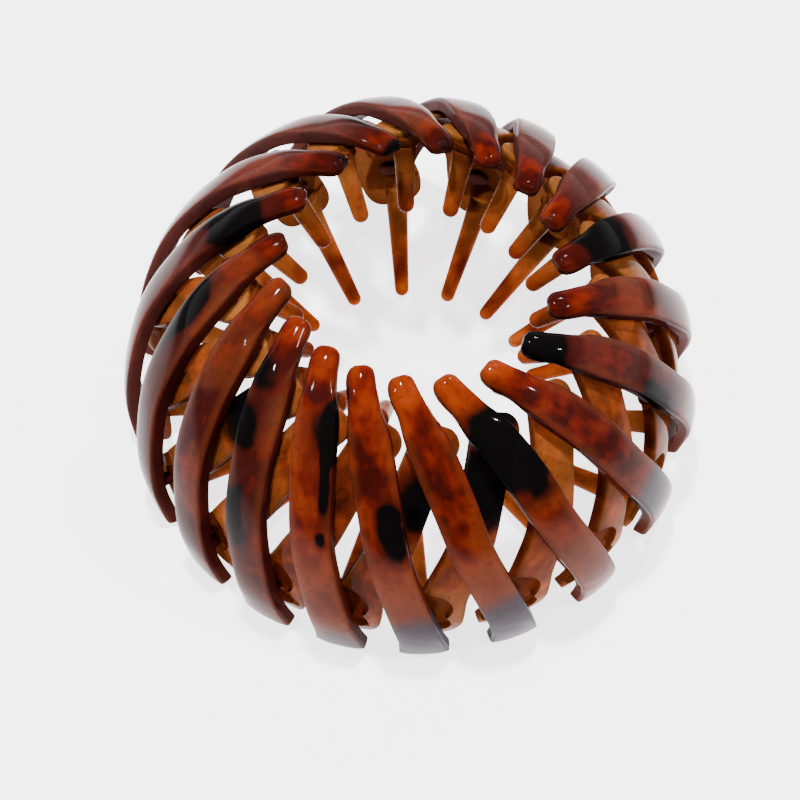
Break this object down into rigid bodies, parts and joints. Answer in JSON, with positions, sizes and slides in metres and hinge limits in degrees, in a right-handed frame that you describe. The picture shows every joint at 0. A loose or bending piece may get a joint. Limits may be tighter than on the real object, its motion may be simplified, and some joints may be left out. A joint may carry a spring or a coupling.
{
  "type": "expanding bun clip",
  "caption": "Expanding hair bun clip: a bowl-shaped ring of crossing ribs that opens like a scissor lattice, with inward fingers and teeth, in tortoiseshell plastic.",
  "frame": {"origin": "middle of the ring, on the plane that the outer ribs' feet stand on", "axes": "+Z from the feet to the finger tips, along the ring's axis; the picture looks along +Y and down"},
  "size_m": [0.1028, 0.1029, 0.0512],
  "materials": {
    "tortoiseshell": "gloss",
    "amber": "gloss",
    "pin": "gloss"
  },
  "bodies": {
    "pin_01": {"pivot_pin_01": "pin"},
    "outer_01": {"outer_rib_01": "tortoiseshell"},
    "inner_01": {"inner_rib_01": "amber"},
    "pin_02": {"pivot_pin_02": "pin"},
    "outer_02": {"outer_rib_02": "tortoiseshell"},
    "inner_02": {"inner_rib_02": "amber"},
    "pin_03": {"pivot_pin_03": "pin"},
    "outer_03": {"outer_rib_03": "tortoiseshell"},
    "inner_03": {"inner_rib_03": "amber"},
    "pin_04": {"pivot_pin_04": "pin"},
    "outer_04": {"outer_rib_04": "tortoiseshell"},
    "inner_04": {"inner_rib_04": "amber"},
    "pin_05": {"pivot_pin_05": "pin"},
    "outer_05": {"outer_rib_05": "tortoiseshell"},
    "inner_05": {"inner_rib_05": "amber"},
    "pin_06": {"pivot_pin_06": "pin"},
    "outer_06": {"outer_rib_06": "tortoiseshell"},
    "inner_06": {"inner_rib_06": "amber"},
    "pin_07": {"pivot_pin_07": "pin"},
    "outer_07": {"outer_rib_07": "tortoiseshell"},
    "inner_07": {"inner_rib_07": "amber"},
    "pin_08": {"pivot_pin_08": "pin"},
    "outer_08": {"outer_rib_08": "tortoiseshell"},
    "inner_08": {"inner_rib_08": "amber"},
    "pin_09": {"pivot_pin_09": "pin"},
    "outer_09": {"outer_rib_09": "tortoiseshell"},
    "inner_09": {"inner_rib_09": "amber"},
    "pin_10": {"pivot_pin_10": "pin"},
    "outer_10": {"outer_rib_10": "tortoiseshell"},
    "inner_10": {"inner_rib_10": "amber"},
    "pin_11": {"pivot_pin_11": "pin"},
    "outer_11": {"outer_rib_11": "tortoiseshell"},
    "inner_11": {"inner_rib_11": "amber"},
    "pin_12": {"pivot_pin_12": "pin"},
    "outer_12": {"outer_rib_12": "tortoiseshell"},
    "inner_12": {"inner_rib_12": "amber"},
    "pin_13": {"pivot_pin_13": "pin"},
    "outer_13": {"outer_rib_13": "tortoiseshell"},
    "inner_13": {"inner_rib_13": "amber"},
    "pin_14": {"pivot_pin_14": "pin"},
    "outer_14": {"outer_rib_14": "tortoiseshell"},
    "inner_14": {"inner_rib_14": "amber"},
    "pin_15": {"pivot_pin_15": "pin"},
    "outer_15": {"outer_rib_15": "tortoiseshell"},
    "inner_15": {"inner_rib_15": "amber"},
    "pin_16": {"pivot_pin_16": "pin"},
    "outer_16": {"outer_rib_16": "tortoiseshell"},
    "inner_16": {"inner_rib_16": "amber"},
    "pin_17": {"pivot_pin_17": "pin"},
    "outer_17": {"outer_rib_17": "tortoiseshell"},
    "inner_17": {"inner_rib_17": "amber"},
    "pin_18": {"pivot_pin_18": "pin"},
    "outer_18": {"outer_rib_18": "tortoiseshell"},
    "inner_18": {"inner_rib_18": "amber"}
  },
  "joints": [
    {"name": "ring_spread", "type": "slide", "parent": "pin_01", "child": "pin_10", "axis": [0.3478, 0.9376, 0], "range_m": [-0.0018, 0.0115]},
    {"name": "spread_02", "type": "slide", "parent": "pin_01", "child": "pin_02", "axis": [0.986, -0.1666, 0], "range_m": [-0.00026, 0.00164]},
    {"name": "spread_03", "type": "slide", "parent": "pin_01", "child": "pin_03", "axis": [0.9999, -0.0127, 0], "range_m": [-0.00053, 0.00337]},
    {"name": "spread_04", "type": "slide", "parent": "pin_01", "child": "pin_04", "axis": [0.9878, 0.1556, 0], "range_m": [-0.00081, 0.00518]},
    {"name": "spread_05", "type": "slide", "parent": "pin_01", "child": "pin_05", "axis": [0.9441, 0.3297, 0], "range_m": [-0.00109, 0.00693]},
    {"name": "spread_06", "type": "slide", "parent": "pin_01", "child": "pin_06", "axis": [0.8682, 0.4962, 0], "range_m": [-0.00133, 0.00849]},
    {"name": "spread_07", "type": "slide", "parent": "pin_01", "child": "pin_07", "axis": [0.7653, 0.6436, 0], "range_m": [-0.00153, 0.00975]},
    {"name": "spread_08", "type": "slide", "parent": "pin_01", "child": "pin_08", "axis": [0.6425, 0.7663, 0], "range_m": [-0.00167, 0.01066]},
    {"name": "spread_09", "type": "slide", "parent": "pin_01", "child": "pin_09", "axis": [0.5035, 0.864, 0], "range_m": [-0.00176, 0.01124]},
    {"name": "spread_11", "type": "slide", "parent": "pin_01", "child": "pin_11", "axis": [0.1726, 0.985, 0], "range_m": [-0.00179, 0.01141]},
    {"name": "spread_12", "type": "slide", "parent": "pin_01", "child": "pin_12", "axis": [-0.021, 0.9998, 0], "range_m": [-0.0017, 0.01089]},
    {"name": "spread_13", "type": "slide", "parent": "pin_01", "child": "pin_13", "axis": [-0.2237, 0.9747, 0], "range_m": [-0.00155, 0.0099]},
    {"name": "spread_14", "type": "slide", "parent": "pin_01", "child": "pin_14", "axis": [-0.4192, 0.9079, 0], "range_m": [-0.00133, 0.00848]},
    {"name": "spread_15", "type": "slide", "parent": "pin_01", "child": "pin_15", "axis": [-0.5903, 0.8072, 0], "range_m": [-0.00106, 0.00677]},
    {"name": "spread_16", "type": "slide", "parent": "pin_01", "child": "pin_16", "axis": [-0.7268, 0.6869, 0], "range_m": [-0.00078, 0.00498]},
    {"name": "spread_17", "type": "slide", "parent": "pin_01", "child": "pin_17", "axis": [-0.8281, 0.5606, 0], "range_m": [-0.00051, 0.00324]},
    {"name": "spread_18", "type": "slide", "parent": "pin_01", "child": "pin_18", "axis": [-0.9008, 0.4342, 0], "range_m": [-0.00025, 0.0016]},
    {"name": "outer_turn_01", "type": "hinge", "parent": "pin_01", "child": "outer_01", "pos_m": [-0.01442, -0.045, 0.03005], "axis": [-0.2758, -0.8604, 0.4286], "range_deg": [-0.36, 2.29]},
    {"name": "inner_turn_01", "type": "hinge", "parent": "pin_01", "child": "inner_01", "pos_m": [-0.01442, -0.045, 0.03005], "axis": [-0.2758, -0.8604, 0.4286], "range_deg": [-2.29, 0.36]},
    {"name": "outer_turn_02", "type": "hinge", "parent": "pin_02", "child": "outer_02", "pos_m": [-0.00116, -0.04724, 0.03005], "axis": [-0.0223, -0.9032, 0.4286], "range_deg": [-0.38, 2.43]},
    {"name": "inner_turn_02", "type": "hinge", "parent": "pin_02", "child": "inner_02", "pos_m": [-0.00116, -0.04724, 0.03005], "axis": [-0.0223, -0.9032, 0.4286], "range_deg": [-2.43, 0.38]},
    {"name": "outer_turn_03", "type": "hinge", "parent": "pin_03", "child": "outer_03", "pos_m": [0.01327, -0.04535, 0.03005], "axis": [0.2538, -0.8671, 0.4286], "range_deg": [-0.42, 2.67]},
    {"name": "inner_turn_03", "type": "hinge", "parent": "pin_03", "child": "inner_03", "pos_m": [0.01327, -0.04535, 0.03005], "axis": [0.2538, -0.8671, 0.4286], "range_deg": [-2.67, 0.42]},
    {"name": "outer_turn_04", "type": "hinge", "parent": "pin_04", "child": "outer_04", "pos_m": [0.02756, -0.03838, 0.03005], "axis": [0.5269, -0.7339, 0.4286], "range_deg": [-0.45, 2.89]},
    {"name": "inner_turn_04", "type": "hinge", "parent": "pin_04", "child": "inner_04", "pos_m": [0.02756, -0.03838, 0.03005], "axis": [0.5269, -0.7339, 0.4286], "range_deg": [-2.89, 0.45]},
    {"name": "outer_turn_05", "type": "hinge", "parent": "pin_05", "child": "outer_05", "pos_m": [0.0393, -0.02624, 0.03005], "axis": [0.7514, -0.5017, 0.4286], "range_deg": [-0.47, 3.01]},
    {"name": "inner_turn_05", "type": "hinge", "parent": "pin_05", "child": "inner_05", "pos_m": [0.0393, -0.02624, 0.03005], "axis": [0.7514, -0.5017, 0.4286], "range_deg": [-3.01, 0.47]},
    {"name": "outer_turn_06", "type": "hinge", "parent": "pin_06", "child": "outer_06", "pos_m": [0.04609, -0.01041, 0.03005], "axis": [0.8813, -0.1991, 0.4286], "range_deg": [-0.47, 3.01]},
    {"name": "inner_turn_06", "type": "hinge", "parent": "pin_06", "child": "inner_06", "pos_m": [0.04609, -0.01041, 0.03005], "axis": [0.8813, -0.1991, 0.4286], "range_deg": [-3.01, 0.47]},
    {"name": "outer_turn_07", "type": "hinge", "parent": "pin_07", "child": "outer_07", "pos_m": [0.0468, 0.00649, 0.03005], "axis": [0.8949, 0.1242, 0.4286], "range_deg": [-0.46, 2.92]},
    {"name": "inner_turn_07", "type": "hinge", "parent": "pin_07", "child": "inner_07", "pos_m": [0.0468, 0.00649, 0.03005], "axis": [0.8949, 0.1242, 0.4286], "range_deg": [-2.92, 0.46]},
    {"name": "outer_turn_08", "type": "hinge", "parent": "pin_08", "child": "outer_08", "pos_m": [0.04179, 0.02205, 0.03005], "axis": [0.7991, 0.4217, 0.4286], "range_deg": [-0.44, 2.82]},
    {"name": "inner_turn_08", "type": "hinge", "parent": "pin_08", "child": "inner_08", "pos_m": [0.04179, 0.02205, 0.03005], "axis": [0.7991, 0.4217, 0.4286], "range_deg": [-2.82, 0.44]},
    {"name": "outer_turn_09", "type": "hinge", "parent": "pin_09", "child": "outer_09", "pos_m": [0.03204, 0.03473, 0.03005], "axis": [0.6127, 0.664, 0.4286], "range_deg": [-0.44, 2.81]},
    {"name": "inner_turn_09", "type": "hinge", "parent": "pin_09", "child": "inner_09", "pos_m": [0.03204, 0.03473, 0.03005], "axis": [0.6127, 0.664, 0.4286], "range_deg": [-2.81, 0.44]},
    {"name": "outer_turn_10", "type": "hinge", "parent": "pin_10", "child": "outer_10", "pos_m": [0.01841, 0.04352, 0.03005], "axis": [0.352, 0.8321, 0.4286], "range_deg": [-0.46, 2.91]},
    {"name": "inner_turn_10", "type": "hinge", "parent": "pin_10", "child": "inner_10", "pos_m": [0.01841, 0.04352, 0.03005], "axis": [0.352, 0.8321, 0.4286], "range_deg": [-2.91, 0.46]},
    {"name": "outer_turn_11", "type": "hinge", "parent": "pin_11", "child": "outer_11", "pos_m": [0.00173, 0.04722, 0.03005], "axis": [0.0331, 0.9029, 0.4286], "range_deg": [-0.49, 3.1]},
    {"name": "inner_turn_11", "type": "hinge", "parent": "pin_11", "child": "inner_11", "pos_m": [0.00173, 0.04722, 0.03005], "axis": [0.0331, 0.9029, 0.4286], "range_deg": [-3.1, 0.49]},
    {"name": "outer_turn_12", "type": "hinge", "parent": "pin_12", "child": "outer_12", "pos_m": [-0.01629, 0.04435, 0.03005], "axis": [-0.3116, 0.8481, 0.4286], "range_deg": [-0.52, 3.31]},
    {"name": "inner_turn_12", "type": "hinge", "parent": "pin_12", "child": "inner_12", "pos_m": [-0.01629, 0.04435, 0.03005], "axis": [-0.3116, 0.8481, 0.4286], "range_deg": [-3.31, 0.52]},
    {"name": "outer_turn_13", "type": "hinge", "parent": "pin_13", "child": "outer_13", "pos_m": [-0.0326, 0.0342, 0.03005], "axis": [-0.6233, 0.6541, 0.4286], "range_deg": [-0.54, 3.43]},
    {"name": "inner_turn_13", "type": "hinge", "parent": "pin_13", "child": "inner_13", "pos_m": [-0.0326, 0.0342, 0.03005], "axis": [-0.6233, 0.6541, 0.4286], "range_deg": [-3.43, 0.54]},
    {"name": "outer_turn_14", "type": "hinge", "parent": "pin_14", "child": "outer_14", "pos_m": [-0.0436, 0.0182, 0.03005], "axis": [-0.8338, 0.3481, 0.4286], "range_deg": [-0.53, 3.38]},
    {"name": "inner_turn_14", "type": "hinge", "parent": "pin_14", "child": "inner_14", "pos_m": [-0.0436, 0.0182, 0.03005], "axis": [-0.8338, 0.3481, 0.4286], "range_deg": [-3.38, 0.53]},
    {"name": "outer_turn_15", "type": "hinge", "parent": "pin_15", "child": "outer_15", "pos_m": [-0.04725, -0.00011, 0.03005], "axis": [-0.9035, -0.0021, 0.4286], "range_deg": [-0.49, 3.16]},
    {"name": "inner_turn_15", "type": "hinge", "parent": "pin_15", "child": "inner_15", "pos_m": [-0.04725, -0.00011, 0.03005], "axis": [-0.9035, -0.0021, 0.4286], "range_deg": [-3.16, 0.49]},
    {"name": "outer_turn_16", "type": "hinge", "parent": "pin_16", "child": "outer_16", "pos_m": [-0.04411, -0.01693, 0.03005], "axis": [-0.8435, -0.3238, 0.4286], "range_deg": [-0.45, 2.84]},
    {"name": "inner_turn_16", "type": "hinge", "parent": "pin_16", "child": "inner_16", "pos_m": [-0.04411, -0.01693, 0.03005], "axis": [-0.8435, -0.3238, 0.4286], "range_deg": [-2.84, 0.45]},
    {"name": "outer_turn_17", "type": "hinge", "parent": "pin_17", "child": "outer_17", "pos_m": [-0.03642, -0.03011, 0.03005], "axis": [-0.6963, -0.5757, 0.4286], "range_deg": [-0.4, 2.52]},
    {"name": "inner_turn_17", "type": "hinge", "parent": "pin_17", "child": "inner_17", "pos_m": [-0.03642, -0.03011, 0.03005], "axis": [-0.6963, -0.5757, 0.4286], "range_deg": [-2.52, 0.4]},
    {"name": "outer_turn_18", "type": "hinge", "parent": "pin_18", "child": "outer_18", "pos_m": [-0.02621, -0.03931, 0.03005], "axis": [-0.5012, -0.7517, 0.4286], "range_deg": [-0.36, 2.32]},
    {"name": "inner_turn_18", "type": "hinge", "parent": "pin_18", "child": "inner_18", "pos_m": [-0.02621, -0.03931, 0.03005], "axis": [-0.5012, -0.7517, 0.4286], "range_deg": [-2.32, 0.36]}
  ],
  "couplings": [
    {"joint": "spread_02", "follows": "ring_spread", "ratio": 0.14242},
    {"joint": "spread_03", "follows": "ring_spread", "ratio": 0.29337},
    {"joint": "spread_04", "follows": "ring_spread", "ratio": 0.45016},
    {"joint": "spread_05", "follows": "ring_spread", "ratio": 0.60272},
    {"joint": "spread_06", "follows": "ring_spread", "ratio": 0.73827},
    {"joint": "spread_07", "follows": "ring_spread", "ratio": 0.84738},
    {"joint": "spread_08", "follows": "ring_spread", "ratio": 0.92678},
    {"joint": "spread_09", "follows": "ring_spread", "ratio": 0.97743},
    {"joint": "spread_11", "follows": "ring_spread", "ratio": 0.99167},
    {"joint": "spread_12", "follows": "ring_spread", "ratio": 0.94664},
    {"joint": "spread_13", "follows": "ring_spread", "ratio": 0.86075},
    {"joint": "spread_14", "follows": "ring_spread", "ratio": 0.73736},
    {"joint": "spread_15", "follows": "ring_spread", "ratio": 0.58906},
    {"joint": "spread_16", "follows": "ring_spread", "ratio": 0.43274},
    {"joint": "spread_17", "follows": "ring_spread", "ratio": 0.28134},
    {"joint": "spread_18", "follows": "ring_spread", "ratio": 0.13864},
    {"joint": "outer_turn_01", "follows": "ring_spread", "rad_per_m": 3.4798},
    {"joint": "inner_turn_01", "follows": "ring_spread", "rad_per_m": -3.4798},
    {"joint": "outer_turn_02", "follows": "ring_spread", "rad_per_m": 3.6934},
    {"joint": "inner_turn_02", "follows": "ring_spread", "rad_per_m": -3.6934},
    {"joint": "outer_turn_03", "follows": "ring_spread", "rad_per_m": 4.0464},
    {"joint": "inner_turn_03", "follows": "ring_spread", "rad_per_m": -4.0464},
    {"joint": "outer_turn_04", "follows": "ring_spread", "rad_per_m": 4.3819},
    {"joint": "inner_turn_04", "follows": "ring_spread", "rad_per_m": -4.3819},
    {"joint": "outer_turn_05", "follows": "ring_spread", "rad_per_m": 4.5699},
    {"joint": "inner_turn_05", "follows": "ring_spread", "rad_per_m": -4.5699},
    {"joint": "outer_turn_06", "follows": "ring_spread", "rad_per_m": 4.5664},
    {"joint": "inner_turn_06", "follows": "ring_spread", "rad_per_m": -4.5664},
    {"joint": "outer_turn_07", "follows": "ring_spread", "rad_per_m": 4.4297},
    {"joint": "inner_turn_07", "follows": "ring_spread", "rad_per_m": -4.4297},
    {"joint": "outer_turn_08", "follows": "ring_spread", "rad_per_m": 4.2858},
    {"joint": "inner_turn_08", "follows": "ring_spread", "rad_per_m": -4.2858},
    {"joint": "outer_turn_09", "follows": "ring_spread", "rad_per_m": 4.2607},
    {"joint": "inner_turn_09", "follows": "ring_spread", "rad_per_m": -4.2607},
    {"joint": "outer_turn_10", "follows": "ring_spread", "rad_per_m": 4.4152},
    {"joint": "inner_turn_10", "follows": "ring_spread", "rad_per_m": -4.4152},
    {"joint": "outer_turn_11", "follows": "ring_spread", "rad_per_m": 4.7116},
    {"joint": "inner_turn_11", "follows": "ring_spread", "rad_per_m": -4.7116},
    {"joint": "outer_turn_12", "follows": "ring_spread", "rad_per_m": 5.0259},
    {"joint": "inner_turn_12", "follows": "ring_spread", "rad_per_m": -5.0259},
    {"joint": "outer_turn_13", "follows": "ring_spread", "rad_per_m": 5.203},
    {"joint": "inner_turn_13", "follows": "ring_spread", "rad_per_m": -5.203},
    {"joint": "outer_turn_14", "follows": "ring_spread", "rad_per_m": 5.1303},
    {"joint": "inner_turn_14", "follows": "ring_spread", "rad_per_m": -5.1303},
    {"joint": "outer_turn_15", "follows": "ring_spread", "rad_per_m": 4.7972},
    {"joint": "inner_turn_15", "follows": "ring_spread", "rad_per_m": -4.7972},
    {"joint": "outer_turn_16", "follows": "ring_spread", "rad_per_m": 4.3052},
    {"joint": "inner_turn_16", "follows": "ring_spread", "rad_per_m": -4.3052},
    {"joint": "outer_turn_17", "follows": "ring_spread", "rad_per_m": 3.8239},
    {"joint": "inner_turn_17", "follows": "ring_spread", "rad_per_m": -3.8239},
    {"joint": "outer_turn_18", "follows": "ring_spread", "rad_per_m": 3.5181},
    {"joint": "inner_turn_18", "follows": "ring_spread", "rad_per_m": -3.5181}
  ]
}
